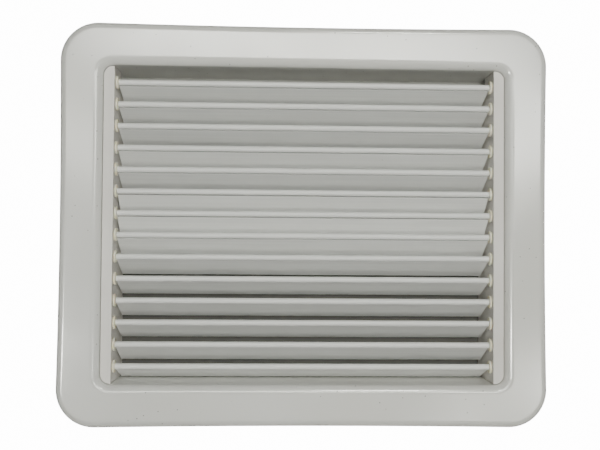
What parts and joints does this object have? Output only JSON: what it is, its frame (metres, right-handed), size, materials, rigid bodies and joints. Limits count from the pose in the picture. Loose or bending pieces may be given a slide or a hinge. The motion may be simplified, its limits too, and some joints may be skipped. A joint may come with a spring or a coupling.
{
  "type": "supply air grille",
  "caption": "White supply air grille: rounded moulded flange and neck, side rails with cream pivots, and horizontal blades that each tilt on their own.",
  "frame": {"origin": "middle of the neck's rear rim, which the grille lies on", "axes": "+Z out of the face, +X along the long side, +Y along the short side towards the top blade"},
  "size_m": [0.2824, 0.232, 0.0392],
  "materials": {
    "frame_plastic": "moulded white ABS, semi-gloss",
    "rail_plastic": "white plastic, satin",
    "blade_paint": "white powder coat on extruded aluminium, satin",
    "pivot_nylon": "natural cream nylon"
  },
  "bodies": {
    "housing": {"frame": "frame_plastic", "side_rail_left": "rail_plastic", "side_rail_right": "rail_plastic"},
    "louvre_01": {"blade_01": "blade_paint", "pivot_left_01": "pivot_nylon", "pivot_right_01": "pivot_nylon"},
    "louvre_02": {"blade_02": "blade_paint", "pivot_left_02": "pivot_nylon", "pivot_right_02": "pivot_nylon"},
    "louvre_03": {"blade_03": "blade_paint", "pivot_left_03": "pivot_nylon", "pivot_right_03": "pivot_nylon"},
    "louvre_04": {"blade_04": "blade_paint", "pivot_left_04": "pivot_nylon", "pivot_right_04": "pivot_nylon"},
    "louvre_05": {"blade_05": "blade_paint", "pivot_left_05": "pivot_nylon", "pivot_right_05": "pivot_nylon"},
    "louvre_06": {"blade_06": "blade_paint", "pivot_left_06": "pivot_nylon", "pivot_right_06": "pivot_nylon"},
    "louvre_07": {"blade_07": "blade_paint", "pivot_left_07": "pivot_nylon", "pivot_right_07": "pivot_nylon"},
    "louvre_08": {"blade_08": "blade_paint", "pivot_left_08": "pivot_nylon", "pivot_right_08": "pivot_nylon"},
    "louvre_09": {"blade_09": "blade_paint", "pivot_left_09": "pivot_nylon", "pivot_right_09": "pivot_nylon"},
    "louvre_10": {"blade_10": "blade_paint", "pivot_left_10": "pivot_nylon", "pivot_right_10": "pivot_nylon"},
    "louvre_11": {"blade_11": "blade_paint", "pivot_left_11": "pivot_nylon", "pivot_right_11": "pivot_nylon"},
    "louvre_12": {"blade_12": "blade_paint", "pivot_left_12": "pivot_nylon", "pivot_right_12": "pivot_nylon"},
    "louvre_13": {"blade_13": "blade_paint", "pivot_left_13": "pivot_nylon", "pivot_right_13": "pivot_nylon"},
    "louvre_14": {"blade_14": "blade_paint", "pivot_left_14": "pivot_nylon", "pivot_right_14": "pivot_nylon"}
  },
  "joints": [
    {"name": "louvre_01_tilt", "type": "hinge", "parent": "housing", "child": "louvre_01", "pos_m": [0, 0.08285, 0.0286], "axis": [-1, 0, 0], "range_deg": [-46, 27]},
    {"name": "louvre_02_tilt", "type": "hinge", "parent": "housing", "child": "louvre_02", "pos_m": [0, 0.07015, 0.0286], "axis": [-1, 0, 0], "range_deg": [-31, 27]},
    {"name": "louvre_03_tilt", "type": "hinge", "parent": "housing", "child": "louvre_03", "pos_m": [0, 0.05745, 0.0286], "axis": [-1, 0, 0], "range_deg": [-31, 32]},
    {"name": "louvre_04_tilt", "type": "hinge", "parent": "housing", "child": "louvre_04", "pos_m": [0, 0.04475, 0.0286], "axis": [-1, 0, 0], "range_deg": [-38, 21]},
    {"name": "louvre_05_tilt", "type": "hinge", "parent": "housing", "child": "louvre_05", "pos_m": [0, 0.03205, 0.0286], "axis": [-1, 0, 0], "range_deg": [-27, 33]},
    {"name": "louvre_06_tilt", "type": "hinge", "parent": "housing", "child": "louvre_06", "pos_m": [0, 0.01935, 0.0286], "axis": [-1, 0, 0], "range_deg": [-44, 21]},
    {"name": "louvre_07_tilt", "type": "hinge", "parent": "housing", "child": "louvre_07", "pos_m": [0, 0.00665, 0.0286], "axis": [-1, 0, 0], "range_deg": [-32, 12]},
    {"name": "louvre_08_tilt", "type": "hinge", "parent": "housing", "child": "louvre_08", "pos_m": [0, -0.00605, 0.0286], "axis": [-1, 0, 0], "range_deg": [-17, 18]},
    {"name": "louvre_09_tilt", "type": "hinge", "parent": "housing", "child": "louvre_09", "pos_m": [0, -0.01875, 0.0286], "axis": [-1, 0, 0], "range_deg": [-23, 24]},
    {"name": "louvre_10_tilt", "type": "hinge", "parent": "housing", "child": "louvre_10", "pos_m": [0, -0.03145, 0.0286], "axis": [-1, 0, 0], "range_deg": [-28, 27]},
    {"name": "louvre_11_tilt", "type": "hinge", "parent": "housing", "child": "louvre_11", "pos_m": [0, -0.04415, 0.0286], "axis": [-1, 0, 0], "range_deg": [-32, 26]},
    {"name": "louvre_12_tilt", "type": "hinge", "parent": "housing", "child": "louvre_12", "pos_m": [0, -0.05685, 0.0286], "axis": [-1, 0, 0], "range_deg": [-31, 28]},
    {"name": "louvre_13_tilt", "type": "hinge", "parent": "housing", "child": "louvre_13", "pos_m": [0, -0.06955, 0.0286], "axis": [-1, 0, 0], "range_deg": [-33, 21]},
    {"name": "louvre_14_tilt", "type": "hinge", "parent": "housing", "child": "louvre_14", "pos_m": [0, -0.08225, 0.0286], "axis": [-1, 0, 0], "range_deg": [-24, 0]}
  ]
}
